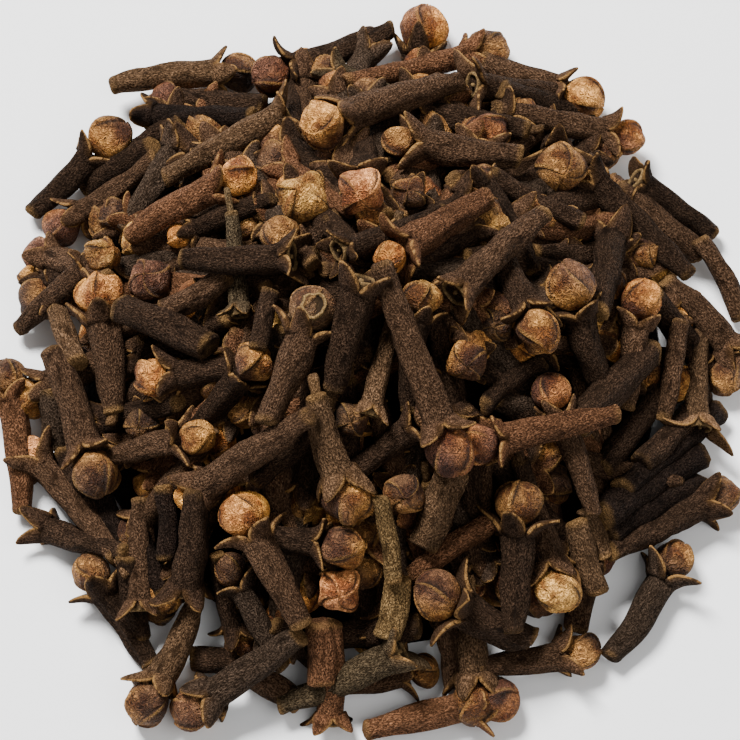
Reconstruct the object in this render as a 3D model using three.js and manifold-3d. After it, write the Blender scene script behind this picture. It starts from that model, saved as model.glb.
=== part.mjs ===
// A heap of whole dried cloves, tipped out on a flat surface. Millimetres, +Z up, the origin in
// the middle of the heap's flat base, and the heap's front towards -Y.
//
// The heap is one solid: a low core, and the cloves that show fused on to it where they lie. A
// clove is a stem, thicker towards its head, with four short lobes round a ball-shaped bud.
import * as THREE from "three";
import { mergeVertices } from "three/addons/utils/BufferGeometryUtils.js";
import Module from "manifold-3d";

// The heap's skin: a rounded cone that the topmost cloves reach up to. Its edge is one clove high.
const HEAP = { width: 75, depth: 77, height: 27.5, edge: 3.4, roundness: 1.5 };
const OUTLINE_MIDDLE = [0.13, -0.79]; // of the outermost cloves, from the skin's own middle
// The core stops short of the skin, and of the outermost ends of the cloves within so many degrees
// to each side. Its top is wavy.
const CORE = { least: 33, inset: 0.6, underSkin: 3.6, edge: 0.5, rings: 6, sectors: 32, aside: 10 };
const LUMPS = { height: 0.6, turnX: 0.55, turnY: 0.5, startX: 1, startY: 2 }; // turns in radians per mm
const FLOOR_REACH = 200; // a block under the floor that trims what would reach below it

// The lower layer: cloves scattered over a bed by a seeded rule.
const BED_UNDER_SKIN = 8.5;
const SCATTER = { count: 130, seed: 20231, inside: 0.94, underSkin: 6.5 };
// A second layer lies on the far slope, from one turn round the heap to the other.
const FAR_SLOPE = { count: 30, from: 0.35, to: 0.84, firstTurn: 5, lastTurn: 175, underSkin: 5 };
const GOLDEN_SHARE = 0.618; // of the far slope, from each clove to the next
const TRIES = 10; // each scattered clove lies in the lowest of so many places
const SHIFT = 3; // how far apart those places are
const SCATTERED_LENGTH = [12.5, 15.5];
const SCATTERED_BUD = [3.2, 4.8];
const SCATTERED_STEM = [2.3, 3.1];

// The upper layers are laid on a slanted plan: the heap as its sight lines meet it from the
// front and above. On the plan, across runs to the right and up runs away over the heap.
const PLAN = { tilt: 70, reach: 280, middle: [0, -5, 10] };

// One clove.
const CLOVE_LENGTH = 14.5; // of a clove that stands in the heap, foot to the bud's middle
const HEAD_FROM = 0.85; // the share of the length where the head begins
const FOOT_TAPER = 0.84; // width of the cut foot against the stem's full width
const CALYX_FLARE = 1.22; // width of the rim that the lobes grow from, against the stem's
const STANDING_STEM = 0.62; // a standing clove's stem against its bud
const SIDES = 6;
const FACET_FIT = 1.05; // a few-sided stem is this much wider at its corners, to be true on average
// A bud from its middle, in shares of its radius: where it starts, is widest, narrows and ends.
const BUD = { start: -1.2, widest: -0.1, shoulder: 0.78, shoulderWidth: 0.62, top: 0.95 };
const EMPTY_HEAD = { flare: 2.2, hollow: 0.6 }; // below the rim, in mm
// A lobe leans out from the clove's axis, in degrees, and is left out where its tip points down
// more steeply than the lowest rise. It is rooted inside the rim, below the bud's middle.
const LOBE = { count: 4, length: 2.5, width: 1.9, thickness: 0.9, sunk: 0.5, lowestRise: -0.25 };
const LOBE_LEAN = { bud: 52, empty: 38 };
const LOBE_ROOT = { inside: 0.75, belowBud: 0.42 };

// How cloves settle on what lies below.
const CELL = 0.5; // the grid that keeps the heap's height as it grows
const GRID_HALF = 46;
const SINK = 0.45; // how far a clove beds in to what carries it
const STAND_SINK = 1.1;
const STEEPEST = 0.32; // most tilt of a lying clove away from the skin's own slope
const FULL_DEPTH = 14; // where the heap is lower than this, its layers lie closer together
const WEIGHT_AT = 0.55; // a clove tips about this share of its length from the foot
const LEAST_SHOWN = 0.35; // a clove with less than this share on top is left to the core
const LEAST_LOBED = 0.65; // and with less than this, its lobes don't show
const COVERED = 0.5; // what lies this much higher covers it
const FIRST_UNDER_SKIN = 4.5; // the first clove laid stays this far below the skin, the last touches it
const SHORTEST_WHOLE = 11; // a clove with less than this in sight goes on under the others
const HIDDEN_DIP = 0.3; // how steeply the hidden part goes down
const SAMPLES = [0, 0.1, 0.2, 0.3, 0.4, 0.5, 0.6, 0.7, 0.8, 0.9, 1];
const ROUNDS = 4; // plan places and resting heights are worked out in turn

const BROWN = new THREE.Color(0x3f2b20);

// Cloves laid from the lowest to the topmost. Each row is the foot's place on the plan (across,
// up), the head's place, the bud's width (0: the bud has dropped and left its calyx open) and
// the stem's width.
const LYING = [
  [-26, 9, -33, 11.4, 3.8, 2.6],
  [-28, 8, -33.8, 9.2, 3, 2.4],
  [-18, 20, -20.2, 27, 3.8, 2.6],
  [1, 28, -4.5, 30, 3.2, 2.4],
  [-25, -18, -32.6, -15.8, 0, 2.6],
  [-14.5, -21.5, -13, -27.5, 3, 2.4],
  [-1, -9.3, 6, -4.5, 3.6, 2.6],
  [-21.3, 21.5, -30.8, 14.3, 3.8, 2.6],
  [-33.9, 15.6, -26, 23.2, 5, 2.9],
  [-24.8, 14.3, -19.2, 22.3, 0, 3],
  [-10.3, 17, -19, 13.3, 2.6, 2.2],
  [2.4, 34.2, -9.9, 29.4, 4.2, 2.8],
  [-2.5, 28.9, 11.8, 32.1, 4.4, 2.4],
  [16, 23.8, 5.5, 25.3, 0, 2.8],
  [13.5, 15, 11, 18.8, 0, 2.4],
  [11, 31, 21.2, 27.2, 4.6, 2.9],
  [34, 13.6, 26.6, 18.6, 0, 2.7],
  [-34.8, -14.4, -36.2, -0.7, 3.8, 2.8],
  [-14, 0.5, -21.5, -0.8, 4.2, 2.7],
  [-15.8, -3.8, -11.6, 0.7, 3.8, 2.6],
  [-24.7, -8.3, -17.2, -6.8, 3.6, 2.6],
  [-13.4, 10, -13, 5.7, 0, 1.9],
  [4.5, 0, 5.2, 7.3, 3.4, 2.4],
  [29.4, 9.1, 37, 0.9, 3.6, 3],
  [-21.8, -29.7, -27.9, -20.2, 3.8, 2.8],
  [-23.3, -12.2, -22.8, -24.3, 0, 2.4],
  [-9.5, -28, -13.9, -19.9, 3.4, 2.4],
  [-3.8, -29, -4, -35, 0, 2.6],
  [-2, -31, 5.4, -30.1, 3.2, 2.4],
  [-0.6, -36.1, 12.7, -32.9, 4.4, 2.9],
  [-11.5, 25.5, -22, 25.3, 0, 2.8],
  [-26, 28.3, -13.2, 29.8, 4, 2.8],
  [-20.7, 19, -8.5, 25.6, 0, 2.8],
  [-35.2, 4, -26.8, 11.4, 3.6, 2.6],
  [15.2, 21.3, 2.9, 22.7, 3.5, 3.3],
  [20.3, 27.7, 10.4, 28.5, 0, 2.8],
  [7.4, 16, -3, 12, 0, 2.3],
  [11.8, 17.2, 2, 11.2, 3.2, 3.3],
  [12.4, 26.2, 25.5, 23.3, 4, 2.8],
  [32, 9.3, 22.2, 18.8, 0, 3],
  [22.8, 5.5, 24.2, 13.2, 0, 3.1],
  [-25.7, -4.2, -26.9, 7.4, 4.8, 3.3],
  [-25.3, -18.8, -34, -8.3, 3.8, 2.6],
  [-3.7, -1.7, -0.9, 8.8, 0, 3.4],
  [2.3, 4.8, 0, -4.2, 0, 2.1],
  [-5.4, -2.1, -2.2, -13, 4.8, 3],
  [13.5, 11.8, 16.9, 3.8, 4.3, 3],
  [23.8, -2.5, 20.1, 8.4, 4.9, 3],
  [26, -1, 27.1, 7, 4.4, 2.8],
  [33.3, 1.4, 33, -5.6, 0, 2.4],
  [22.5, -14.5, 18.2, -2.1, 4, 2.4],
  [-17.6, -23.5, -22.2, -33.4, 4.4, 2.9],
  [-9.3, -16, -2.7, -17, 4.4, 2.7],
  [10.2, -25.2, 10.5, -33.3, 4.8, 3.2],
  [17, -16, 18.9, -21.9, 5, 2.8],
  [23.9, -18.3, 35, -12.6, 4, 2.8],
  [23.9, -28.9, 30.5, -18.9, 4, 3],
  [11.6, -29.5, 21.1, -28.2, 3.8, 2.8],
  [-24.2, 13.2, -13.2, 19.3, 4, 3.1],
  [-19.1, 11.2, -8, 11.3, 0, 3],
  [9, 29, -4.8, 24.4, 4.8, 3.3],
  [17.5, 15.8, 8.6, 7.8, 0, 3.1],
  [-32.1, 2.2, -27.4, -10.4, 4.8, 3.2],
  [-5.8, -4.6, -17.9, -12.6, 3.5, 3.2],
  [-10.4, -5.4, -5.7, 6.1, 4.4, 3],
  [24.8, -4.4, 10.6, -7.4, 4.2, 2.9],
  [-17.9, -13, -18.5, -21.9, 0, 3.1],
  [-6.9, -26.4, -17.8, -33.9, 4.6, 3.2],
  [-6.8, -25.8, -12.6, -14.4, 4.9, 3.1],
  [-9.2, -33.6, 2.9, -28.2, 0, 3.2],
  [16, -26.8, 6.7, -22.5, 4.7, 3.4],
  [14.1, -26.4, 14.9, -13.3, 4.6, 3.2],
  [0.9, 10.8, 8, -8, 4.9, 3.1],
];

// Stems that broke off below their head: one end, the other end, the width, and how many of
// the lying cloves are laid before them.
const BROKEN = [
  [-18, -28.8, -12, -29.8, 2.6, 0],
  [-32, -2, -31.5, -8, 2.8, 0],
  [23, -14.8, 33, -8.3, 3.6, 0],
  [25, -12, 35, -4, 2.8, 0],
  [21, -9, 31, -11.5, 2.6, 0],
  [29, -2, 23, -10, 2.6, 0],
  [-27.5, -10, -24.5, -19.5, 2.6, 0],
  [-24.5, -18.5, -23, -27, 2.4, 0],
  [-4.5, -26.5, 5, -25.5, 2.8, 0],
  [-10, -25.5, -4, -30, 2.6, 0],
  [7, -24, 8.5, -31.5, 2.6, 0],
  [24.5, 18, 33, 11.5, 3, 0],
  [-21.5, 22.5, -28.5, 18, 2.6, 0],
  [-18.5, 25, -25.5, 20.5, 2.6, 0],
  [23.5, -16.5, 33.5, -11.5, 3, 0],
  [13, 28, 22, 25, 2.6, 0],
  [27, -9.5, 33.5, -2.5, 2.8, 0],
  [22.2, -19, 20.5, -26, 2.8, 0],
  [-30.5, -8, -28, -15.5, 2.6, 0],
  [-23.5, -16, -20.5, -22.5, 2.6, 0],
  [-13, -30, -7, -33.5, 2.6, 0],
  [-20, 27.2, -10.5, 26.5, 2.8, 0],
  [28, 7.5, 34, -0.5, 2.8, 0],
  [-20.9, 5.7, -14, 9.8, 2.6, 30],
  [11.9, 19.6, 21.3, 14.6, 2.2, 30],
  [-29.1, 0.6, -31.3, 6, 2.4, 30],
  [-11.6, -11.3, -5, -6.5, 2, 30],
  [-9.9, 8.1, -11.3, 2, 2, 30],
  [29.2, -5.1, 31, 5, 2.1, 30],
  [37, 5, 32.8, 13.2, 2.2, 30],
  [11.5, -3.8, 17.2, 0.7, 2, 30],
  [-20.8, -11.5, -20.5, -19, 2.2, 30],
  [20.8, -14.8, 22.8, -22.4, 2.6, 30],
  [21.4, -14, 23.6, -18.7, 1.9, 30],
  [-15.9, 2.2, -25.3, 6.2, 3.2, 58],
  [28.2, 2, 20.5, -5.5, 3.4, 58],
  [3.8, -20.7, 12.5, -15, 2.4, 58],
  [2.8, -20.8, 1.6, -26.8, 3, 58],
  [-5.2, -25.2, -5, -31.5, 3, 58],
  [0.9, -12.6, 2.4, -21.3, 1.8, 58],
  [5.2, -17.8, 8.5, -9, 3.3, 71],
];

// Cloves that stand in the heap with the bud up: the bud's place, the side that the foot leans
// to, the bud's width, and how many of the lying cloves are laid before them.
const STANDING = [
  [3.9, 17.6, 5, 15, 3.4, 7],
  [-22.8, -5.5, -21, -4, 3.5, 7],
  [-1.8, -4.8, -1, -2, 3.4, 7],
  [12.6, 4.5, 14, 6, 3.4, 7],
  [-20.9, -24.1, -20, -22, 3, 7],
  [-8.9, -24.5, -9, -21, 3.2, 7],
  [35.5, -0.8, 34, 2, 3.8, 7],
  [5.4, 34.2, 4.5, 30, 5, 12],
  [-6.7, 17.1, -3.5, 12, 5.2, 30],
  [27.5, 11.8, 26, 9, 3.2, 30],
  [9.8, 1, 10, 5, 4, 30],
  [3.4, -12.4, 3, -9, 4, 30],
  [-22, 9, -19, 6, 4.4, 58],
  [-0.9, 17.8, -0.4, 23, 4.6, 58],
  [19.1, 20.2, 17.5, 24, 5.2, 58],
  [-3.1, -21.9, -2.5, -18.5, 4.2, 58],
];

const wasm = await Module();
wasm.setup();

const DEGREE = Math.PI / 180;
const { Vector2, Vector3, Matrix4, Quaternion } = THREE;

let drawn = SCATTER.seed;
function random() {
  drawn = (drawn * 16807) % 2147483647;
  return drawn / 2147483647;
}
const between = (low, high) => low + (high - low) * random();

// ---- The skin, and the height that the heap has reached so far ----

function skin(x, y) {
  const out = Math.hypot(x / (HEAP.width / 2), y / (HEAP.depth / 2));
  return HEAP.edge + (HEAP.height - HEAP.edge) * Math.max(0, 1 - out ** HEAP.roundness);
}

const GRID_ROWS = Math.round((2 * GRID_HALF) / CELL) + 1;
const cellOf = (place) => Math.round((place + GRID_HALF) / CELL);
const reached = new Float64Array(GRID_ROWS * GRID_ROWS);
for (let row = 0; row < GRID_ROWS; row++)
  for (let column = 0; column < GRID_ROWS; column++)
    reached[row * GRID_ROWS + column] = Math.max(
      0,
      skin(column * CELL - GRID_HALF, row * CELL - GRID_HALF) - BED_UNDER_SKIN,
    );

const heightAt = (x, y) => reached[cellOf(y) * GRID_ROWS + cellOf(x)];

// Raises the grid to the top of a ball. A clove is laid as a row of such balls.
function pressBall(x, y, z, radius) {
  const span = Math.ceil(radius / CELL);
  for (let row = cellOf(y) - span; row <= cellOf(y) + span; row++)
    for (let column = cellOf(x) - span; column <= cellOf(x) + span; column++) {
      const aside = Math.hypot(column * CELL - GRID_HALF - x, row * CELL - GRID_HALF - y);
      if (aside >= radius) continue;
      const top = z + Math.sqrt(radius * radius - aside * aside);
      const cell = row * GRID_ROWS + column;
      reached[cell] = Math.max(reached[cell], top);
    }
}

// ---- Settling ----

const radiusAt = (clove, share) =>
  share > HEAD_FROM ? Math.max(clove.bud, clove.stem) / 2 : clove.stem / 2;

// The lowest height of a round stem's middle that clears the heap, at one place on its axis.
function clearance(x, y, radius, side) {
  const lifts = [-0.7, 0, 0.7].map((share) => {
    const off = share * radius;
    return heightAt(x + side.x * off, y + side.y * off) + radius * Math.sqrt(1 - share * share);
  });
  return Math.max(...lifts);
}

// A lying clove comes down until it rests on two points, one on each side of its weight. It
// follows the skin's slope within limits, and stays at least its own depth below the skin.
function settle(foot, head, clove) {
  const along = new Vector2(head.x - foot.x, head.y - foot.y);
  const side = new Vector2(-along.y, along.x).normalize();
  const need = SAMPLES.map((share) => {
    const x = foot.x + along.x * share;
    const y = foot.y + along.y * share;
    return clearance(x, y, radiusAt(clove, share), side);
  });
  let best = { height: -Infinity };
  SAMPLES.forEach((near, i) => {
    SAMPLES.forEach((far, j) => {
      if (near > WEIGHT_AT || far < WEIGHT_AT) return;
      const slope = (need[j] - need[i]) / (far - near);
      const height = need[i] + slope * (WEIGHT_AT - near);
      if (height > best.height) best = { height, slope };
    });
  });
  const footSkin = skin(foot.x, foot.y);
  const skinSlope = skin(head.x, head.y) - footSkin;
  const steepest = STEEPEST * along.length();
  const tilt = Math.max(-steepest, Math.min(steepest, best.slope - skinSlope));
  const slope = skinSlope + tilt;
  const surface = footSkin + skinSlope * WEIGHT_AT;
  const highest = surface - clove.stem / 2 - clove.depth * Math.min(1, surface / FULL_DEPTH);
  const height = Math.min(best.height - SINK, highest);
  foot.z = Math.max(height - slope * WEIGHT_AT, clove.stem / 2);
  head.z = Math.max(height + slope * (1 - WEIGHT_AT), radiusAt(clove, 1));
  return height - footSkin;
}

function press(clove) {
  const steps = Math.ceil(clove.foot.distanceTo(clove.head) / (0.8 * CELL));
  for (let step = 0; step <= steps; step++) {
    const at = clove.foot.clone().lerp(clove.head, step / steps);
    pressBall(at.x, at.y, at.z, radiusAt(clove, step / steps));
  }
}

// ---- The plan ----

const tilt = PLAN.tilt * DEGREE;
const planMiddle = new Vector3(...PLAN.middle);
const planUp = new Vector3(0, Math.sin(tilt), Math.cos(tilt));
const sightStart = new Vector3(0, -Math.cos(tilt), Math.sin(tilt))
  .multiplyScalar(PLAN.reach)
  .add(planMiddle);

// The place at one height that a sight line through a place on the plan meets.
function onPlan(across, up, height) {
  const place = planMiddle.clone().addScaledVector(planUp, up);
  place.x += across;
  const share = (height - sightStart.z) / (place.z - sightStart.z);
  return sightStart.clone().lerp(place, share);
}

// ---- Laying the heap ----

const heap = [];

function add(clove) {
  press(clove);
  heap.push(clove);
}

// A scattered clove, in the lowest of a few places round its own spot.
function scatter(turn, out, underSkin) {
  const length = between(...SCATTERED_LENGTH);
  const reach = (HEAP.width / 2) * out - length / 2;
  const bud = between(...SCATTERED_BUD);
  const stem = between(...SCATTERED_STEM);
  const clove = { bud, stem, depth: underSkin };
  let lowest = { above: Infinity };
  for (let round = 0; round < TRIES; round++) {
    const heading = between(0, 2 * Math.PI);
    const x = Math.cos(turn) * reach + between(-SHIFT, SHIFT);
    const y = Math.sin(turn) * reach + between(-SHIFT, SHIFT);
    const halfX = (Math.cos(heading) * length) / 2;
    const halfY = (Math.sin(heading) * length) / 2;
    const foot = new Vector3(x - halfX, y - halfY, 0);
    const head = new Vector3(x + halfX, y + halfY, 0);
    const above = settle(foot, head, clove);
    if (above < lowest.above) lowest = { above, foot, head };
  }
  // A clove on a slope takes less room on the floor.
  const { foot, head } = lowest;
  const middle = foot.clone().lerp(head, 0.5);
  const shortened = length / foot.distanceTo(head);
  add({ ...clove, foot: middle.clone().lerp(foot, shortened), head: middle.lerp(head, shortened) });
}

// The lower layer follows a spiral with the same room for each clove.
function scatterBed() {
  const goldenTurn = Math.PI * (3 - Math.sqrt(5));
  for (let index = 0; index < SCATTER.count; index++) {
    const out = SCATTER.inside * Math.sqrt((index + 0.5) / SCATTER.count);
    scatter(index * goldenTurn, out, SCATTER.underSkin);
  }
}

function scatterFarSlope() {
  const { count, from, to, firstTurn, lastTurn, underSkin } = FAR_SLOPE;
  for (let index = 0; index < count; index++) {
    const share = (index + 0.5) / count;
    const out = Math.sqrt(from ** 2 + (to ** 2 - from ** 2) * share);
    const turn = firstTurn + (lastTurn - firstTurn) * ((index * GOLDEN_SHARE) % 1);
    scatter(turn * DEGREE, out, underSkin);
  }
}

const depthAfter = (laid) => FIRST_UNDER_SKIN * (1 - laid / LYING.length);

function lie([footAcross, footUp, headAcross, headUp, bud, stem], laid, broken) {
  const clove = { bud, stem, broken, depth: depthAfter(laid) };
  let foot = new Vector3(0, 0, 5);
  let head = new Vector3(0, 0, 5);
  for (let round = 0; round < ROUNDS; round++) {
    foot = onPlan(footAcross, footUp, foot.z);
    head = onPlan(headAcross, headUp, head.z);
    settle(foot, head, clove);
  }
  const hidden = SHORTEST_WHOLE - foot.distanceTo(head);
  if (!broken && hidden > 0) {
    const away = foot.clone().sub(head).normalize();
    away.z -= HIDDEN_DIP;
    foot.addScaledVector(away, hidden);
    foot.z = Math.max(foot.z, stem / 2);
  }
  add({ ...clove, foot, head });
}

function stand([headAcross, headUp, footAcross, footUp, bud], laid) {
  const clove = { bud, stem: STANDING_STEM * bud, depth: depthAfter(laid) };
  let head = new Vector3(0, 0, 5);
  for (let round = 0; round < ROUNDS; round++) {
    head = onPlan(headAcross, headUp, head.z);
    const lengthwise = clearance(head.x, head.y, bud / 2, new Vector2(1, 0));
    const crosswise = clearance(head.x, head.y, bud / 2, new Vector2(0, 1));
    const highest = skin(head.x, head.y) - bud / 2 - clove.depth;
    head.z = Math.max(bud / 2, Math.min(Math.max(lengthwise, crosswise) - STAND_SINK, highest));
  }
  let foot = onPlan(footAcross, footUp, head.z);
  for (let round = 0; round < ROUNDS; round++) {
    const aside = Math.hypot(head.x - foot.x, head.y - foot.y);
    const drop = Math.sqrt(Math.max(0, CLOVE_LENGTH ** 2 - aside ** 2));
    foot = onPlan(footAcross, footUp, Math.max(clove.stem / 2, head.z - drop));
  }
  add({ ...clove, foot, head });
}

scatterBed();
scatterFarSlope();
for (let laid = 0; laid <= LYING.length; laid++) {
  BROKEN.filter((row) => row[5] === laid).forEach((row) => {
    lie([row[0], row[1], row[2], row[3], 0, row[4]], laid, true);
  });
  STANDING.filter((row) => row[5] === laid).forEach((row) => stand(row, laid));
  if (laid < LYING.length) lie(LYING[laid], laid, false);
}

// The share of a clove's length that nothing covers.
function shown(clove) {
  const open = SAMPLES.filter((share) => {
    const at = clove.foot.clone().lerp(clove.head, share);
    return heightAt(at.x, at.y) - at.z - radiusAt(clove, share) < COVERED;
  });
  return open.length / SAMPLES.length;
}

// ---- Solids ----

// A three.js geometry as a manifold-3d solid, with its shared corners merged.
function solid(geometry, matrix) {
  const bare = geometry.clone().applyMatrix4(matrix);
  bare.deleteAttribute("normal");
  bare.deleteAttribute("uv");
  const merged = mergeVertices(bare, 1e-4);
  const corners = merged.index.array;
  const kept = [];
  for (let i = 0; i < corners.length; i += 3) {
    const [a, b, c] = corners.subarray(i, i + 3);
    if (a !== b && b !== c && c !== a) kept.push(a, b, c);
  }
  return new wasm.Manifold(
    new wasm.Mesh({
      numProp: 3,
      vertProperties: new Float32Array(merged.attributes.position.array),
      triVerts: new Uint32Array(kept),
    }),
  );
}

// The turned body of a clove, from the foot at 0 up its own Y axis.
function turnedBody(clove, length) {
  const stem = (clove.stem / 2) * FACET_FIT;
  const bud = (clove.bud / 2) * FACET_FIT;
  const foot = [new Vector2(0, 0), new Vector2(stem * FOOT_TAPER, 0)];
  if (clove.broken)
    return [...foot, new Vector2(stem, length), new Vector2(0, length)];
  if (!clove.bud)
    return [
      ...foot,
      new Vector2(stem, length - EMPTY_HEAD.flare),
      new Vector2(stem * CALYX_FLARE, length),
      new Vector2(0, length - EMPTY_HEAD.hollow),
    ];
  return [
    ...foot,
    new Vector2(stem, length + BUD.start * bud),
    new Vector2(bud, length + BUD.widest * bud),
    new Vector2(bud * BUD.shoulderWidth, length + BUD.shoulder * bud),
    new Vector2(0, length + BUD.top * bud),
  ];
}

// The lobes round a head, less the ones that point down into the heap.
function lobes(clove, length, toPlace, roll) {
  const shape = new THREE.ConeGeometry(LOBE.width / 2, LOBE.length, 3);
  const rim = (clove.stem / 2) * CALYX_FLARE;
  const base = length - LOBE_ROOT.belowBud * clove.bud;
  const lean = (clove.bud ? LOBE_LEAN.bud : LOBE_LEAN.empty) * DEGREE;
  const turns = Array.from({ length: LOBE.count }, (_, i) => roll + (i * 2 * Math.PI) / LOBE.count);
  const places = turns.map((turn) =>
    toPlace
      .clone()
      .multiply(new Matrix4().makeTranslation(0, base, 0))
      .multiply(new Matrix4().makeRotationY(turn))
      .multiply(new Matrix4().makeTranslation(rim * LOBE_ROOT.inside, 0, 0))
      .multiply(new Matrix4().makeRotationZ(-lean))
      .multiply(new Matrix4().makeTranslation(0, LOBE.length / 2 - LOBE.sunk, 0))
      .multiply(new Matrix4().makeScale(LOBE.thickness / LOBE.width, 1, 1)),
  );
  const tipRise = (place) => new Vector3(0, 1, 0).transformDirection(place).z;
  const showing = places.filter((place) => tipRise(place) > LOBE.lowestRise);
  return showing.map((place) => solid(shape, place));
}

function cloveSolids(clove, index) {
  const axis = clove.head.clone().sub(clove.foot);
  const length = axis.length();
  const upright = new Quaternion().setFromUnitVectors(new Vector3(0, 1, 0), axis.normalize());
  const toPlace = new Matrix4().compose(clove.foot, upright, new Vector3(1, 1, 1));
  const body = solid(new THREE.LatheGeometry(turnedBody(clove, length), SIDES), toPlace);
  if (clove.broken || shown(clove) < LEAST_LOBED) return [body];
  return [body, ...lobes(clove, length, toPlace, index)];
}

// How far the core reaches towards one side: nearly as far as the cloves that show.
function coreReach(turn) {
  const sideways = Math.cos(CORE.aside * DEGREE);
  const ends = onTop.flatMap((clove) => [clove.foot, clove.head]);
  const here = ends.filter((end) => Math.cos(Math.atan2(end.y, end.x) - turn) > sideways);
  return Math.max(CORE.least, ...here.map((end) => Math.hypot(end.x, end.y) - CORE.inset));
}

// The core is a low dome with a flat base, lumpy as what lies on it.
function core() {
  const profile = [new Vector2(0, 0)];
  for (let ring = CORE.rings; ring >= 1; ring--)
    profile.push(new Vector2(ring / CORE.rings, ring === CORE.rings ? 0 : 1));
  profile.push(new Vector2(0, 1));
  const geometry = new THREE.LatheGeometry(profile, CORE.sectors);
  const flatToDome = new Matrix4().makeRotationX(Math.PI / 2);
  geometry.applyMatrix4(flatToDome);
  const corners = geometry.attributes.position;
  for (let i = 0; i < corners.count; i++) {
    const reach = coreReach(Math.atan2(corners.getY(i), corners.getX(i)));
    const x = corners.getX(i) * reach;
    const y = corners.getY(i) * reach;
    const wave = Math.sin(LUMPS.turnX * x + LUMPS.startX) * Math.sin(LUMPS.turnY * y + LUMPS.startY);
    const top = Math.max(CORE.edge, skin(x, y) - CORE.underSkin + LUMPS.height * wave);
    corners.setXYZ(i, x, y, corners.getZ(i) * top);
  }
  return solid(geometry, new Matrix4());
}

// One closed body: hollows that fusing sealed are filled, and scraps that touch nothing go.
function wholeBody(pieces) {
  const bodies = pieces.decompose();
  return bodies.reduce((most, body) => (body.volume() > most.volume() ? body : most));
}

const onTop = heap.filter((clove) => shown(clove) >= LEAST_SHOWN);
const fused = wasm.Manifold.union([core(), ...onTop.flatMap(cloveSolids)]);
const underFloor = solid(
  new THREE.BoxGeometry(FLOOR_REACH, FLOOR_REACH, FLOOR_REACH),
  new Matrix4().makeTranslation(0, 0, -FLOOR_REACH / 2),
);
const [middleX, middleY] = OUTLINE_MIDDLE;
const body = wholeBody(fused.subtract(underFloor)).translate([-middleX, -middleY, 0]);

const mesh = body.getMesh();
const geometry = new THREE.BufferGeometry();
geometry.setAttribute("position", new THREE.BufferAttribute(mesh.vertProperties, 3));
geometry.setIndex(new THREE.BufferAttribute(mesh.triVerts, 1));
geometry.computeVertexNormals();

const material = new THREE.MeshStandardMaterial({ color: BROWN, roughness: 0.85, metalness: 0 });
const cloveHeap = new THREE.Mesh(geometry, material);
cloveHeap.name = "clove_heap";

const root = new THREE.Group();
root.add(cloveHeap);

export default root;
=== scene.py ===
# %% [markdown]
# # A heap of whole cloves
#
# A clove is a dried flower bud of the clove tree. Its stem is the flower's base, which dries to a
# dark, wrinkled stick. At the head four small leaves, the calyx lobes, hold the unopened petals,
# which stay rolled up in a paler ball. This scene dresses a heap of nearly three hundred of them.
#
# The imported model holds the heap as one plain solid, which gives the size and the place. So the
# frame comes first.

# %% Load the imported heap
import math
from collections import namedtuple
from itertools import cycle

import bpy
import numpy as np
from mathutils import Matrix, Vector


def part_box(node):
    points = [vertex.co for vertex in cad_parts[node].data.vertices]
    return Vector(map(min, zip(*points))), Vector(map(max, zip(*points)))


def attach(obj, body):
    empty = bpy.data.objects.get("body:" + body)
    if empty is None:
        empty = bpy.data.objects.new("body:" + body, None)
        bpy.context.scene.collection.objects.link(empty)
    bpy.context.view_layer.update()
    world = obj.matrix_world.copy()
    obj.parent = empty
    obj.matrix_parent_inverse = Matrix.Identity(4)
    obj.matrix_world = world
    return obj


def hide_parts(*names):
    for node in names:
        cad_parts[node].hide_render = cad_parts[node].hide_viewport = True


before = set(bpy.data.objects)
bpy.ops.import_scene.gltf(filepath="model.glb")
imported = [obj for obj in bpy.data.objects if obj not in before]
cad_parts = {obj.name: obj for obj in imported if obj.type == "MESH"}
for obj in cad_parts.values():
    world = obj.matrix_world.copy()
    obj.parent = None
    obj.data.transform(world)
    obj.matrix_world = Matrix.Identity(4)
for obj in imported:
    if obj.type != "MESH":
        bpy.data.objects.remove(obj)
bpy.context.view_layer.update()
MM = 0.001
low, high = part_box("clove_heap")
print("The heap is", [round((b - a) / MM, 1) for a, b in zip(low, high)], "mm")

# %% [markdown]
# ## The slanted plan
#
# A rule alone makes a heap like any other. This one has a layer scattered by a seeded rule, and
# on top cloves laid one by one, each with a place on a slanted plan, the heap as it looks from
# the front and above. A sight line through a place on the plan and the height at which the clove
# comes to rest give its place in space. The camera stands where the sight lines start.

# %% The plan and the camera on it
PLAN_TILT = math.radians(70)
PLAN_REACH = 280.0  # mm, from the plan's middle to where its sight lines start
PLAN_ACROSS = 74.0  # mm of the plan that the view takes in
OUTLINE_MIDDLE = np.array([0.13, -0.79, 0.0])  # of the outermost cloves, from the skin's middle
PLAN_MIDDLE = np.array([0.0, -5.0, 10.0])
PLAN_UP = np.array([0.0, math.sin(PLAN_TILT), math.cos(PLAN_TILT)])
PLAN_OUT = np.array([0.0, -math.cos(PLAN_TILT), math.sin(PLAN_TILT)])
SIGHT_START = PLAN_MIDDLE + PLAN_REACH * PLAN_OUT


def on_plan(across, up, height):
    """The place at one height that a sight line through a place on the plan meets."""
    place = PLAN_MIDDLE + up * PLAN_UP + np.array([across, 0.0, 0.0])
    share = (height - SIGHT_START[2]) / (place[2] - SIGHT_START[2])
    return SIGHT_START + share * (place - SIGHT_START)


def put(name, data):
    """Puts a new object with this data in the scene."""
    made = bpy.data.objects.new(name, data)
    bpy.context.scene.collection.objects.link(made)
    return made


camera = put("camera", bpy.data.cameras.new("camera"))
camera.location = (SIGHT_START - OUTLINE_MIDDLE) * MM
camera.rotation_euler = (math.pi / 2 - PLAN_TILT, 0, 0)
camera.data.angle = 2 * math.atan(PLAN_ACROSS / 2 / PLAN_REACH)
camera.data.clip_start = 0.01
bpy.context.scene.camera = camera
print("The camera stands", round(PLAN_REACH), "mm away")

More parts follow.
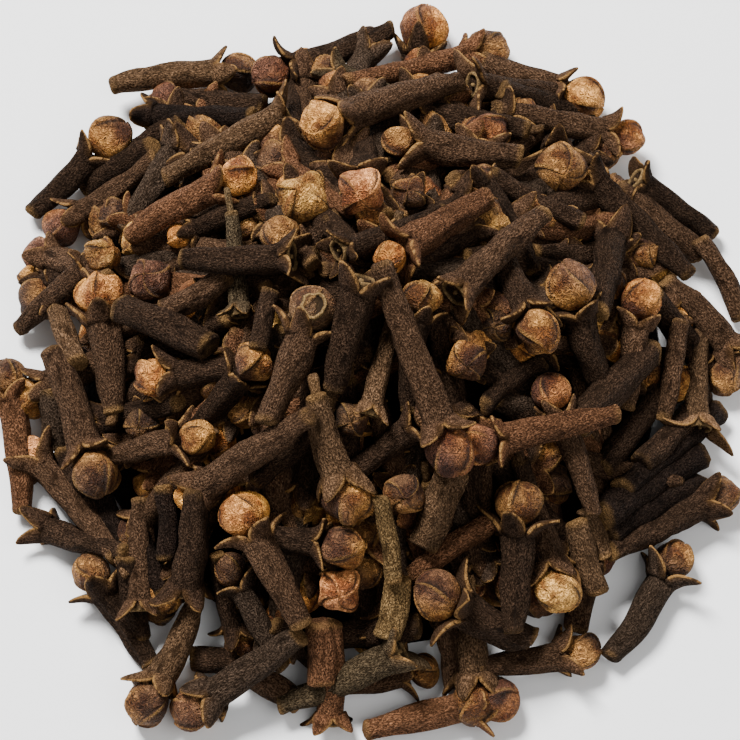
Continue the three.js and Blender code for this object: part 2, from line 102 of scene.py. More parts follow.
# %% [markdown]
# ## The skin and the growing heap
#
# The heap's skin is a rounded cone that the topmost cloves reach up to. Below it, a grid keeps
# the height that the heap has reached so far. Laying a clove reads the grid, and pressing the
# clove into it raises it. A physics run could drop them too, but none would end where it should.

# %% The skin and the height grid
HEAP_WIDTH, HEAP_DEPTH, HEAP_HEIGHT = 75.0, 77.0, 27.5
EDGE_HEIGHT = 3.4  # the skin's edge is one clove high
ROUNDNESS = 1.5
BED_UNDER_SKIN = 8.5
CELL = 0.5
GRID_HALF = 46.0


def skin(x, y):
    out = np.hypot(x / (HEAP_WIDTH / 2), y / (HEAP_DEPTH / 2))
    return EDGE_HEIGHT + (HEAP_HEIGHT - EDGE_HEIGHT) * np.maximum(0, 1 - out**ROUNDNESS)


def cell_of(place):
    return int(math.floor((place + GRID_HALF) / CELL + 0.5))


grid_line = np.arange(round(2 * GRID_HALF / CELL) + 1) * CELL - GRID_HALF
grid_x, grid_y = np.meshgrid(grid_line, grid_line)
reached = np.maximum(0, skin(grid_x, grid_y) - BED_UNDER_SKIN)


def height_at(x, y):
    return reached[cell_of(y), cell_of(x)]


def press_ball(x, y, z, radius):
    """Raises the grid to the top of a ball. A clove is laid as a row of such balls."""
    span = math.ceil(radius / CELL)
    rows = slice(cell_of(y) - span, cell_of(y) + span + 1)
    columns = slice(cell_of(x) - span, cell_of(x) + span + 1)
    aside = np.hypot(grid_x[rows, columns] - x, grid_y[rows, columns] - y)
    top = z + np.sqrt(np.maximum(0, radius**2 - aside**2))
    near = reached[rows, columns]
    reached[rows, columns] = np.where(aside < radius, np.maximum(near, top), near)


print("The bed is", round(float(reached.max()), 1), "mm high")

# %% [markdown]
# ## How a clove comes to rest
#
# A stick that comes down on a heap rests on two points, one on each side of its weight. Of all
# pairs of places along it, the one that stops it highest carries it. It may tilt only so far
# from the skin's slope, as its neighbours hold it, and it stays its own depth below the skin.

# %% Settling
SAMPLES = [share / 10 for share in range(11)]
SAMPLES_ACROSS = (-0.7, 0.0, 0.7)  # of the radius
WEIGHT_AT = 0.55  # a clove tips about this share of its length from the foot
SINK = 0.45  # how far it beds in to what carries it
STEEPEST = 0.32  # most tilt away from the skin's own slope
HEAD_FROM = 0.85  # the share of the length where the head begins
FULL_DEPTH = 14.0  # where the heap is lower, its layers lie closer
FIRST_HEIGHT = 5.0  # where a clove hangs before its first round of settling
PRESS_STEP = 0.8 * CELL


class Clove:
    """One clove, by its foot, the middle of its head, and its widths, in mm."""

    def __init__(self, bud, stem, depth, tone, bud_tone="", broken=False):
        self.bud, self.stem, self.depth = bud, stem, depth
        self.tone, self.bud_tone, self.broken = tone, bud_tone, broken
        self.foot = self.head = np.array([0.0, 0.0, FIRST_HEIGHT])

    def radius_at(self, share):
        return (max(self.bud, self.stem) if share > HEAD_FROM else self.stem) / 2

    def length(self):
        return float(np.linalg.norm(self.head - self.foot))


def clearance(x, y, radius, side):
    """The lowest height of a round stem's middle that clears the heap, at one place."""
    return max(
        height_at(x + side[0] * share * radius, y + side[1] * share * radius)
        + radius * math.sqrt(1 - share * share)
        for share in SAMPLES_ACROSS
    )


def two_point_rest(need):
    """The height at the weight and the slope of a line that rests on two of the samples."""
    best = (-math.inf, 0.0)
    for near, need_near in zip(SAMPLES, need):
        for far, need_far in zip(SAMPLES, need):
            if near < WEIGHT_AT < far:
                slope = (need_far - need_near) / (far - near)
                best = max(best, (need_near + slope * (WEIGHT_AT - near), slope))
    return best


def settle(clove, foot, head):
    """Lowers a clove over a place on the floor, and says how high it rests."""
    along = head[:2] - foot[:2]
    run = float(np.hypot(*along))
    side = np.array([-along[1], along[0]]) / run
    spots = [foot[:2] + along * share for share in SAMPLES]
    need = [clearance(x, y, clove.radius_at(s), side) for (x, y), s in zip(spots, SAMPLES)]
    rest_height, rest_slope = two_point_rest(need)
    foot_skin = float(skin(*foot[:2]))
    skin_slope = float(skin(*head[:2])) - foot_skin
    surface = foot_skin + skin_slope * WEIGHT_AT
    slope = skin_slope + min(max(rest_slope - skin_slope, -STEEPEST * run), STEEPEST * run)
    highest = surface - clove.stem / 2 - clove.depth * min(1, surface / FULL_DEPTH)
    height = min(rest_height - SINK, highest)
    low, high = height - slope * WEIGHT_AT, height + slope * (1 - WEIGHT_AT)
    clove.foot = np.array([*foot[:2], max(low, clove.stem / 2)])
    clove.head = np.array([*head[:2], max(high, clove.radius_at(1))])
    return height - foot_skin


heap = []


def add(clove):
    steps = math.ceil(clove.length() / PRESS_STEP)
    for step in range(steps + 1):
        share = step / steps
        place = clove.foot + (clove.head - clove.foot) * share
        press_ball(*place, clove.radius_at(share))
    heap.append(clove)


# %% [markdown]
# ## The lower layers
#
# Only the ends and backs of these cloves show, through the gaps. A spiral gives each the same
# room, a seeded draw its heading, and of a few places it takes the lowest. A second such layer
# lies on the far slope, where the slanted plan has little room.

# %% Scatter the lower layers
TRIES = 10
SHIFT = 3.0
LENGTHS, BUD_WIDTHS, STEM_WIDTHS = (12.5, 15.5), (3.2, 4.8), (2.3, 3.1)
SCATTERED_TONES = zip(
    cycle(["dark", "brown", "brown", "slate", "red", "dark"]),
    cycle(["brown", "tan", "red", "brown", "tan", "orange", "pale"]),
)

drawn = 20231


def between(lowest, highest):
    """A number drawn from a seeded run, the same each time."""
    global drawn
    drawn = drawn * 16807 % 2147483647
    return lowest + (highest - lowest) * drawn / 2147483647


def scatter(turn, out, under_skin):
    length = between(*LENGTHS)
    reach = HEAP_WIDTH / 2 * out - length / 2
    widths = between(*BUD_WIDTHS), between(*STEM_WIDTHS)
    clove = Clove(*widths, under_skin, *next(SCATTERED_TONES))
    tries = []
    for _ in range(TRIES):
        heading = between(0, 2 * math.pi)
        x = math.cos(turn) * reach + between(-SHIFT, SHIFT)
        y = math.sin(turn) * reach + between(-SHIFT, SHIFT)
        half = np.array([math.cos(heading), math.sin(heading)]) * length / 2
        above = settle(clove, np.array([x, y]) - half, np.array([x, y]) + half)
        tries.append((above, clove.foot, clove.head))
    _, foot, head = min(tries, key=lambda tried: tried[0])
    middle = (foot + head) / 2
    half = (head - middle) * length / float(np.linalg.norm(head - foot))
    clove.foot, clove.head = middle - half, middle + half
    add(clove)


GOLDEN_TURN, GOLDEN_SHARE = math.pi * (3 - math.sqrt(5)), 0.618
BED_COUNT, BED_DEPTH, BED_TO = 130, 6.5, 0.94  # the last is a share of the heap's half width
for index in range(BED_COUNT):
    scatter(index * GOLDEN_TURN, BED_TO * math.sqrt((index + 0.5) / BED_COUNT), BED_DEPTH)

FAR_COUNT, FAR_DEPTH, FAR_FROM, FAR_TO = 30, 5.0, 0.35, 0.84
FAR_START, FAR_TURN = 5, 170  # degrees
for index in range(FAR_COUNT):
    out = math.sqrt(FAR_FROM**2 + (FAR_TO**2 - FAR_FROM**2) * (index + 0.5) / FAR_COUNT)
    turn = math.radians(FAR_START + FAR_TURN * (index * GOLDEN_SHARE % 1))
    scatter(turn, out, FAR_DEPTH)
print(len(heap), "scattered cloves reach", round(float(reached.max()), 1), "mm")

# %% [markdown]
# ## The cloves on top
#
# Each row is one clove, from the lowest to the topmost: the foot's place on the plan (across, up),
# the head's place, the bud's width (0: the bud has dropped and left its calyx open), the stem's
# width, and the tones of the stem and the bud. Two shorter tables hold the stems that broke off
# and the cloves that stand with the bud up, whose head comes first. Each of their groups is laid
# after so many of the lying cloves.

# %% Where the cloves on top lie
LYING = [
    (-26, 9, -33, 11.4, 3.8, 2.6, "brown purple"),
    (-28, 8, -33.8, 9.2, 3, 2.4, "dark tan"),
    (-18, 20, -20.2, 27, 3.8, 2.6, "dark red"),
    (1, 28, -4.5, 30, 3.2, 2.4, "olive brown"),
    (-25, -18, -32.6, -15.8, 0, 2.6, "dark"),
    (-14.5, -21.5, -13, -27.5, 3, 2.4, "dark brown"),
    (-1, -9.3, 6, -4.5, 3.6, 2.6, "dark brown"),
    (-21.3, 21.5, -30.8, 14.3, 3.8, 2.6, "brown red"),
    (-33.9, 15.6, -26, 23.2, 5, 2.9, "dark tan"),
    (-24.8, 14.3, -19.2, 22.3, 0, 3, "slate"),
    (-10.3, 17, -19, 13.3, 2.6, 2.2, "dark orange"),
    (2.4, 34.2, -9.9, 29.4, 4.2, 2.8, "dark red"),
    (-2.5, 28.9, 11.8, 32.1, 4.4, 2.4, "red brown"),
    (16, 23.8, 5.5, 25.3, 0, 2.8, "dark"),
    (13.5, 15, 11, 18.8, 0, 2.4, "dark"),
    (11, 31, 21.2, 27.2, 4.6, 2.9, "brown tan"),
    (34, 13.6, 26.6, 18.6, 0, 2.7, "dark"),
    (-34.8, -14.4, -36.2, -0.7, 3.8, 2.8, "red brown"),
    (-14, 0.5, -21.5, -0.8, 4.2, 2.7, "dark orange"),
    (-15.8, -3.8, -11.6, 0.7, 3.8, 2.6, "dark tan"),
    (-24.7, -8.3, -17.2, -6.8, 3.6, 2.6, "brown tan"),
    (-13.4, 10, -13, 5.7, 0, 1.9, "olive"),
    (4.5, 0, 5.2, 7.3, 3.4, 2.4, "dark pale"),
    (29.4, 9.1, 37, 0.9, 3.6, 3, "brown brown"),
    (-21.8, -29.7, -27.9, -20.2, 3.8, 2.8, "dark brown"),
    (-23.3, -12.2, -22.8, -24.3, 0, 2.4, "brown"),
    (-9.5, -28, -13.9, -19.9, 3.4, 2.4, "slate brown"),
    (-3.8, -29, -4, -35, 0, 2.6, "red"),
    (-2, -31, 5.4, -30.1, 3.2, 2.4, "brown brown"),
    (-0.6, -36.1, 12.7, -32.9, 4.4, 2.9, "red red"),
    (-11.5, 25.5, -22, 25.3, 0, 2.8, "black"),
    (-26, 28.3, -13.2, 29.8, 4, 2.8, "amber brown"),
    (-20.7, 19, -8.5, 25.6, 0, 2.8, "amber"),
    (-35.2, 4, -26.8, 11.4, 3.6, 2.6, "brown pale"),
    (15.2, 21.3, 2.9, 22.7, 3.5, 3.3, "brown brown"),
    (20.3, 27.7, 10.4, 28.5, 0, 2.8, "dark star"),
    (7.4, 16, -3, 12, 0, 2.3, "dark"),
    (11.8, 17.2, 2, 11.2, 3.2, 3.3, "red orange"),
    (12.4, 26.2, 25.5, 23.3, 4, 2.8, "brown orange"),
    (32, 9.3, 22.2, 18.8, 0, 3, "dark"),
    (22.8, 5.5, 24.2, 13.2, 0, 3.1, "dark crown"),
    (-25.7, -4.2, -26.9, 7.4, 4.8, 3.3, "brown gold"),
    (-25.3, -18.8, -34, -8.3, 3.8, 2.6, "brown pink"),
    (-3.7, -1.7, -0.9, 8.8, 0, 3.4, "dark"),
    (2.3, 4.8, 0, -4.2, 0, 2.1, "amber"),
    (-5.4, -2.1, -2.2, -13, 4.8, 3, "amber tan"),
    (13.5, 11.8, 16.9, 3.8, 4.3, 3, "dark tan"),
    (23.8, -2.5, 20.1, 8.4, 4.9, 3, "dark tan"),
    (26, -1, 27.1, 7, 4.4, 2.8, "brown orange"),
    (33.3, 1.4, 33, -5.6, 0, 2.4, "amber star"),
    (22.5, -14.5, 18.2, -2.1, 4, 2.4, "brown red"),
    (-17.6, -23.5, -22.2, -33.4, 4.4, 2.9, "amber brown"),
    (-9.3, -16, -2.7, -17, 4.4, 2.7, "dark tan"),
    (10.2, -25.2, 10.5, -33.3, 4.8, 3.2, "amber brown"),
    (17, -16, 18.9, -21.9, 5, 2.8, "brown pale"),
    (23.9, -18.3, 35, -12.6, 4, 2.8, "dark brown"),
    (23.9, -28.9, 30.5, -18.9, 4, 3, "slate brown"),
    (11.6, -29.5, 21.1, -28.2, 3.8, 2.8, "brown brown"),
    (-24.2, 13.2, -13.2, 19.3, 4, 3.1, "red gold"),
    (-19.1, 11.2, -8, 11.3, 0, 3, "dark"),
    (9, 29, -4.8, 24.4, 4.8, 3.3, "brown tan"),
    (17.5, 15.8, 8.6, 7.8, 0, 3.1, "brown"),
    (-32.1, 2.2, -27.4, -10.4, 4.8, 3.2, "brown brown"),
    (-5.8, -4.6, -17.9, -12.6, 3.5, 3.2, "brown gold"),
    (-10.4, -5.4, -5.7, 6.1, 4.4, 3, "brown scarred"),
    (24.8, -4.4, 10.6, -7.4, 4.2, 2.9, "red red"),
    (-17.9, -13, -18.5, -21.9, 0, 3.1, "dark"),
    (-6.9, -26.4, -17.8, -33.9, 4.6, 3.2, "slate tan"),
    (-6.8, -25.8, -12.6, -14.4, 4.9, 3.1, "brown gold"),
    (-9.2, -33.6, 2.9, -28.2, 0, 3.2, "olive"),
    (16, -26.8, 6.7, -22.5, 4.7, 3.4, "dark tan"),
    (14.1, -26.4, 14.9, -13.3, 4.6, 3.2, "dark brown"),
    (0.9, 10.8, 8, -8, 4.9, 3.1, "brown red"),
]

BROKEN = {
    0: [
        (-18, -28.8, -12, -29.8, 2.6, "dark"), (-32, -2, -31.5, -8, 2.8, "slate"),
        (23, -14.8, 33, -8.3, 3.6, "black"), (25, -12, 35, -4, 2.8, "black"),
        (21, -9, 31, -11.5, 2.6, "brown"), (29, -2, 23, -10, 2.6, "dark"),
        (-27.5, -10, -24.5, -19.5, 2.6, "black"), (-24.5, -18.5, -23, -27, 2.4, "dark"),
        (-4.5, -26.5, 5, -25.5, 2.8, "dark"), (-10, -25.5, -4, -30, 2.6, "dark"),
        (7, -24, 8.5, -31.5, 2.6, "brown"), (24.5, 18, 33, 11.5, 3, "brown"),
        (-21.5, 22.5, -28.5, 18, 2.6, "dark"), (-18.5, 25, -25.5, 20.5, 2.6, "dark"),
        (23.5, -16.5, 33.5, -11.5, 3.0, "black"), (13, 28, 22, 25, 2.6, "dark"),
        (27, -9.5, 33.5, -2.5, 2.8, "dark"), (22.2, -19, 20.5, -26, 2.8, "brown"),
        (-30.5, -8, -28, -15.5, 2.6, "dark"), (-23.5, -16, -20.5, -22.5, 2.6, "black"),
        (-13, -30, -7, -33.5, 2.6, "brown"), (-20, 27.2, -10.5, 26.5, 2.8, "dark"),
        (28, 7.5, 34, -0.5, 2.8, "dark"),
    ],
    30: [
        (-20.9, 5.7, -14, 9.8, 2.6, "brown"), (11.9, 19.6, 21.3, 14.6, 2.2, "dark"),
        (-29.1, 0.6, -31.3, 6, 2.4, "amber"), (-11.6, -11.3, -5, -6.5, 2, "dark"),
        (-9.9, 8.1, -11.3, 2, 2, "dark"), (29.2, -5.1, 31, 5, 2.1, "brown"),
        (37, 5, 32.8, 13.2, 2.2, "brown"), (11.5, -3.8, 17.2, 0.7, 2, "dark"),
        (-20.8, -11.5, -20.5, -19, 2.2, "black"), (20.8, -14.8, 22.8, -22.4, 2.6, "amber"),
        (21.4, -14, 23.6, -18.7, 1.9, "amber"),
    ],
    58: [
        (-15.9, 2.2, -25.3, 6.2, 3.2, "dark"), (28.2, 2, 20.5, -5.5, 3.4, "dark"),
        (3.8, -20.7, 12.5, -15, 2.4, "red"), (2.8, -20.8, 1.6, -26.8, 3, "straw"),
        (-5.2, -25.2, -5, -31.5, 3, "red"), (0.9, -12.6, 2.4, -21.3, 1.8, "straw"),
    ],
    71: [(5.2, -17.8, 8.5, -9, 3.3, "amber")],
}

STANDING = {
    7: [
        # The buds toned "dark" sit deep in the heap, and that tone is painted shade.
        (3.9, 17.6, 5, 15, 3.4, "brown"), (-22.8, -5.5, -21, -4, 3.5, "dark"),
        (-1.8, -4.8, -1, -2, 3.4, "dark"), (12.6, 4.5, 14, 6, 3.4, "dark"),
        (-20.9, -24.1, -20, -22, 3, "dark"), (-8.9, -24.5, -9, -21, 3.2, "tan"),
        (35.5, -0.8, 34, 2, 3.8, "brown"),
    ],
    12: [(5.4, 34.2, 4.5, 30, 5, "orange")],
    30: [
        (-6.7, 17.1, -3.5, 12, 5.2, "pale"), (27.5, 11.8, 26, 9, 3.2, "brown"),
        (9.8, 1, 10, 5, 4, "tan"), (3.4, -12.4, 3, -9, 4, "brown"),
    ],
    58: [
        (-22, 9, -19, 6, 4.4, "purple"), (-0.9, 17.8, -0.4, 23, 4.6, "pink"),
        (19.1, 20.2, 17.5, 24, 5.2, "brown"), (-3.1, -21.9, -2.5, -18.5, 4.2, "pink"),
    ],
}

# %% [markdown]
# ## Laying them
#
# Where a sight line meets a clove depends on how high the clove rests, and that on where it
# lies, so the two are worked out in turn. The last clove touches the skin.

# %% Lay the cloves on top
FIRST_UNDER_SKIN = 4.5
SHORTEST_WHOLE = 11.0  # a clove with less than this in sight goes on under the others
HIDDEN_DIP = 0.3
CLOVE_LENGTH = 14.5
STAND_SINK = 1.1
STANDING_STEM = 0.62  # to the bud's width
ROUNDS = 4


def lie(clove, foot_across, foot_up, head_across, head_up):
    for _ in range(ROUNDS):
        foot = on_plan(foot_across, foot_up, clove.foot[2])
        head = on_plan(head_across, head_up, clove.head[2])
        settle(clove, foot, head)
    hidden = SHORTEST_WHOLE - clove.length()
    if hidden > 0 and not clove.broken:
        away = (clove.foot - clove.head) / clove.length() - np.array([0, 0, HIDDEN_DIP])
        clove.foot = clove.foot + away * hidden
        clove.foot[2] = max(clove.foot[2], clove.stem / 2)
    add(clove)


def stand(clove, head_across, head_up, foot_across, foot_up):
    radius = clove.bud / 2
    for _ in range(ROUNDS):
        head = on_plan(head_across, head_up, clove.head[2])
        clear = max(clearance(*head[:2], radius, side) for side in ((1, 0), (0, 1)))
        highest = float(skin(*head[:2])) - radius - clove.depth
        clove.head = np.array([*head[:2], max(radius, min(clear - STAND_SINK, highest))])
    clove.foot = on_plan(foot_across, foot_up, clove.head[2])
    for _ in range(ROUNDS):
        aside = math.hypot(*(clove.head - clove.foot)[:2])
        drop = math.sqrt(max(0, CLOVE_LENGTH**2 - aside**2))
        clove.foot = on_plan(foot_across, foot_up, max(clove.stem / 2, clove.head[2] - drop))
    add(clove)


for laid, row in enumerate(LYING):
    depth = FIRST_UNDER_SKIN * (1 - laid / len(LYING))
    for *places, stem, tone in BROKEN.get(laid, []):
        lie(Clove(0, stem, depth, tone, broken=True), *places)
    for *places, bud, bud_tone in STANDING.get(laid, []):
        stand(Clove(bud, STANDING_STEM * bud, depth, "dark", bud_tone), *places)
    *places, bud, stem, tones = row
    lie(Clove(bud, stem, depth, *tones.split()), *places)
print(len(heap), "cloves in all reach", round(float(reached.max()), 1), "mm")

# %% [markdown]
# ## Meshes from rings
#
# Every part of a clove is a skin over rows of points: the stem is a tube of rings, the bud a
# ball of rings, a lobe a folded strip. Subdividing a cage would round them all alike, so the
# points are worked out with NumPy and pushed in and out by waves of the clove's own. For its
# finish each point keeps its tone, its place on its own clove and how worn it is; on a bud a
# value below 0 marks a crease, which is painted dark as shade.

# %% Collect the parts of one kind in one mesh
ON_FLOOR = 0.02  # mm, as low as a point may lie


class Parts:
    """The parts of one kind, gathered for one mesh."""

    def __init__(self, name):
        self.name, self.count, self.parts = name, 0, []

    def add(self, points, faces, places, tones, wear_and_crease_shade):
        tones = np.broadcast_to(tones, (len(points), 3))
        wear_and_crease_shade = np.broadcast_to(wear_and_crease_shade, len(points))
        self.parts.append((points, faces + self.count, places, tones, wear_and_crease_shade))
        self.count += len(points)

    def mesh_object(self):
        """One object in metres. A face with its last two corners alike is a triangle."""
        points, quads, places, tones, wear_and_crease_shade = map(np.concatenate, zip(*self.parts))
        points = points - OUTLINE_MIDDLE
        points[:, 2] = np.maximum(points[:, 2], ON_FLOOR)
        faces = [quad[:3] if quad[2] == quad[3] else quad for quad in quads.tolist()]
        mesh = bpy.data.meshes.new(self.name)
        mesh.from_pydata((points * MM).tolist(), [], faces)
        mesh.shade_smooth()
        for name, kind, key, values in (
            ("place", "FLOAT_VECTOR", "vector", places),
            ("tone", "FLOAT_COLOR", "color", np.insert(tones, 3, 1, axis=1)),
            ("wear_and_crease_shade", "FLOAT", "value", wear_and_crease_shade),
        ):
            fact = mesh.attributes.new(name, kind, "POINT")
            fact.data.foreach_set(key, values.astype(np.float32).ravel())
        triangles = sum(len(face) - 2 for face in faces)
        print(self.name, "has", len(self.parts), "parts and", triangles, "triangles")
        return put(self.name, mesh)


# %% [markdown]
# ## Rings and the faces between them
#
# Neighbouring rings are joined by quads. A fan of triangles round one more point closes an end.

# %% Rings and their faces
def circle(sides):
    return np.linspace(0, 2 * math.pi, sides, endpoint=False)[None, :]


def rings_of(radius, phase, height):
    return np.stack(
        np.broadcast_arrays(radius * np.cos(phase), radius * np.sin(phase), height), -1
    )


def with_middles(rings, closed_foot=True, sunk=0.0):
    """The rings as one list of points, and then the middles of the closed ends."""
    ends = [rings[0].mean(0, keepdims=True) + [0, 0, sunk]] if closed_foot else []
    return np.concatenate([rings.reshape(-1, 3), *ends, rings[-1].mean(0, keepdims=True)])


def tube_faces(rings, sides, closed_foot=True):
    """Faces between rings, and round the middle points that come after them."""
    ring, side = np.meshgrid(np.arange(rings - 1), np.arange(sides), indexing="ij")
    a, b = ring * sides + side, ring * sides + (side + 1) % sides
    faces = [np.stack([a, b, b + sides, a + sides], -1).reshape(-1, 4)]
    near = np.arange(sides)
    far = (near + 1) % sides
    middle = np.full(sides, rings * sides)
    if closed_foot:
        faces.append(np.stack([middle, far, near, near], -1))
        middle = middle + 1
    top = (rings - 1) * sides
    faces.append(np.stack([middle, top + near, top + far, top + far], -1))
    return np.concatenate(faces)


# %% [markdown]
# ## Chance, the same each run
#
# No two cloves are alike, but each run must make the same ones. So each clove has a small
# generator of its own, seeded by its number.

# %% Waves that make a surface uneven
FIRST_SEED = 7000


def waves(draw, phase, height, turns, climbs, count):
    """A sum of gentle waves round and along a part, between about -1 and 1."""
    total = np.zeros(np.broadcast(phase, height).shape)
    for _ in range(count):
        turn = draw.integers(turns[0], turns[1] + 1)
        climb = draw.uniform(*climbs)
        total = total + np.sin(turn * phase + climb * height + draw.uniform(0, 2 * math.pi))
    return total / math.sqrt(count)


# %% [markdown]
# ## The stem
#
# A clove's stem is a club, thinnest at the foot, where a small knob is left of its stalk, and
# thickest below the head. There it opens into four corners, which carry the lobes. It is seldom
# quite straight. A tube of rings along a slightly bent line has all that.

# %% Build a stem
STEM_SIDES = 16
STEM_RINGS = np.concatenate([
    [0, 0.01, 0.025, 0.045, 0.065, 0.09, 0.13], np.linspace(0.19, 0.85, 10), [0.9, 0.94, 0.97, 1.0]
])
CLUB = np.array([  # shares of the height, and the radius there
    (0.0, 0.42), (0.01, 0.62), (0.03, 0.7), (0.055, 0.64), (0.09, 0.66), (0.2, 0.78),
    (0.45, 0.93), (0.7, 1.04), (0.84, 1.04), (0.92, 1.08), (0.97, 1.18), (1.0, 1.27),
])
BROKEN_STICK = np.array([(0, 0.72), (0.02, 0.9), (0.5, 1.0), (0.97, 0.92), (1, 0.75)])
RIM_BELOW_BUD = 0.5  # of the bud's width, from its middle down to the rim
LOBE_COUNT = 4
SLIMMEST = 0.3  # how far a club may be like a plain stick
CORNERS_FROM, CORNERS_OVER, CORNER_RISE = 0.84, 0.16, 0.35  # two shares of the height, and mm
EDGES, EDGES_ABOVE, CORNERS = (0.01, 0.05), 0.03, 0.09  # of the radius, like the next two
RIBS, LUMPS = 0.045, 0.075
SLANT, SLANT_TO = 0.3, 1.5  # a foot is never cut square, up to this many mm


def rim_height(clove):
    return clove.length() - RIM_BELOW_BUD * clove.bud


def stem_rings(clove, draw, roll):
    """The rings of a stem in the clove's own frame, foot at 0, up +Z, in mm."""
    share, phase = STEM_RINGS[:, None], circle(STEM_SIDES)
    height = share * rim_height(clove)
    if clove.broken:
        form = np.interp(share, *BROKEN_STICK.T)
        corner = np.zeros_like(share)
    else:
        slim = draw.uniform(0, SLIMMEST)
        form = np.interp(share, *CLUB.T) * (1 - slim) + slim * np.clip(share * 30, 0.5, 1)
        corner = np.clip((share - CORNERS_FROM) / CORNERS_OVER, 0, 1) ** 1.5
    towards_lobe = np.cos(LOBE_COUNT * (phase - roll))
    edges = draw.uniform(*EDGES) + EDGES_ABOVE * share + CORNERS * corner
    ribs = RIBS * waves(draw, phase, height, (4, 7), (-0.25, 0.25), 4)
    lumps = LUMPS * waves(draw, phase, height, (1, 3), (0.4, 1.6), 4)
    uneven = (edges * towards_lobe + ribs + lumps) * np.minimum(1, form + 0.2)
    radius = clove.stem / 2 * (form + uneven)
    rings = rings_of(radius, phase, height + CORNER_RISE * corner * towards_lobe)
    slant = draw.uniform(-SLANT, SLANT, 2)
    near_foot = np.clip(1 - height / SLANT_TO, 0, 1)
    rings[..., 2] += near_foot * (slant[0] * rings[..., 0] + slant[1] * rings[..., 1])
    return rings


def bent(points, tall, bow):
    """Leans the middle of a part aside, as a bow between its two ends."""
    share = np.clip(points[..., 2] / tall, 0, 1)
    result = points.copy()
    result[..., :2] += (4 * share * (1 - share))[..., None] * bow
    return result


# %% [markdown]
# ## The stalk
#
# A few cloves keep a bit of the thin stalk that they were picked from.

# %% Build a stalk
STALK_SIDES = 8
STALK_FORM = np.array([(0.0, 0.20), (0.3, 0.17), (0.8, 0.19), (1.0, 0.15)])
STALKED = 0.2  # of the cloves
STALK_SUNK, STALK_LEAN, STALK_LONG = 0.45, 0.5, (1.0, 2.6)  # mm
STALK_PALER, STALK_WORN = 1.5, 0.45


def stalk_rings(clove, draw):
    """The rings of a bit of stalk that leans a little."""
    share, radius = STALK_FORM[:, :1], STALK_FORM[:, 1:] * clove.stem
    lean = draw.uniform(-STALK_LEAN, STALK_LEAN, 2) * share**1.5
    down = STALK_SUNK - share * (draw.uniform(*STALK_LONG) + STALK_SUNK)
    rings = rings_of(radius, circle(STALK_SIDES), down)
    rings[..., :2] += lean[:, None]
    return rings


# %% [markdown]
# ## The bud
#
# Four petals are rolled round each other, each with one edge over the next. Their edges climb
# aslant round the ball and meet at its top. Where an edge lies over the next petal the columns
# of points stand close together, so that the step stays sharp.

# %% Build a bud
PETALS = 4
PETAL_COLUMNS = np.array([0.0, 0.1, 0.25, 0.45, 0.65, 0.84, 0.95])
BUD_SIDES = PETALS * len(PETAL_COLUMNS)
BUD_RINGS = 15
BUD_FROM, BUD_TO = 0.06, 0.98  # of the way from pole to pole
SQUARE = {"pink": 0.15, "pale": 0.12}  # the least ripe buds dry squarest
LEAST_SQUARE = 0.07
TWIST, STEP, DENTS, TALLNESS = (0.05, 0.7), (0.08, 0.24), 0.055, (0.9, 1.05)
# The dark share of a petal is painted crease shade.
EDGE_WIDTH, CREASE_SHADE_WIDTH = 0.13, 0.15  # the pale and the dark share of a petal


def bud_rings(clove, draw, roll):
    """The rings of a bud round its middle, and how worn each point is, below 0 in a crease that
    gets painted shade.
    """
    fall = np.linspace(BUD_FROM, BUD_TO, BUD_RINGS)[:, None] * math.pi
    up, out = -np.cos(fall), np.sin(fall)
    quarter = (np.arange(PETALS)[:, None] + PETAL_COLUMNS).reshape(1, -1)
    along_petal = np.tile(PETAL_COLUMNS, PETALS)[None, :]
    twist = draw.uniform(*TWIST) * draw.choice([-1, 1])
    phase = roll + quarter * (2 * math.pi / PETALS) + twist * up
    over = np.clip((up + 0.5) * 1.4, 0, 1) * (0.35 + 0.65 * out)
    step = draw.uniform(*STEP) * over * (along_petal**1.5 - 0.45)
    square = SQUARE.get(clove.bud_tone, LEAST_SQUARE) * np.cos(4 * (phase - roll)) * out**2
    dents = DENTS * waves(draw, phase, up, (1, 4), (1.0, 4.0), 5)
    radius = clove.bud / 2 * (1 + step + square + dents)
    rings = rings_of(radius * out, phase, radius * up * draw.uniform(*TALLNESS))
    edge = np.clip((along_petal - 1 + EDGE_WIDTH) / EDGE_WIDTH, 0, 1)
    crease_shade = np.clip(1 - along_petal / CREASE_SHADE_WIDTH, 0, 1)
    return rings, over * (edge - crease_shade)


# %% [markdown]
# ## How the lobes grow
#
# Four pointed lobes carry on from the corners of the rim. Some still hug the bud, most spread,
# and on an empty head they curl. A few grew wide, long like a star or short like a crown.

# %% The habits of the lobes
Habit = namedtuple("Habit", "longer paler leans curls")  # to the usual, and two ranges in radians
HABITS = {
    "hugging": Habit(1.0, 1.0, (0.7, 1.0), (-1.1, -0.5)),
    "spread": Habit(1.0, 1.0, (0.75, 1.15), (-0.3, 0.8)),
    "wide": Habit(1.3, 1.0, (1.15, 1.35), (-0.5, 0.1)),
    "curled": Habit(1.0, 1.0, (0.45, 1.0), (-0.4, 1.0)),
    "star": Habit(1.5, 2.0, (0.9, 1.3), (-0.8, 1.2)),
    "crown": Habit(1.0, 1.3, (0.8, 1.0), (-0.7, -0.2)),
}
HUGGING = 0.15  # of the buds


def habit_of(clove, draw):
    """How the lobes of one clove grew: by its bud, or by the kind that its tone names."""
    if not clove.bud:
        return HABITS.get(clove.bud_tone, HABITS["curled"])
    if draw.random() < HUGGING:
        return HABITS["hugging"]
    return HABITS["wide" if clove.bud_tone == "pink" else "spread"]


# %% [markdown]
# ## The calyx lobes
#
# A lobe is thick at the root and a little cupped. It is an outer and an inner sheet along a
# middle line that bends outward or inward.

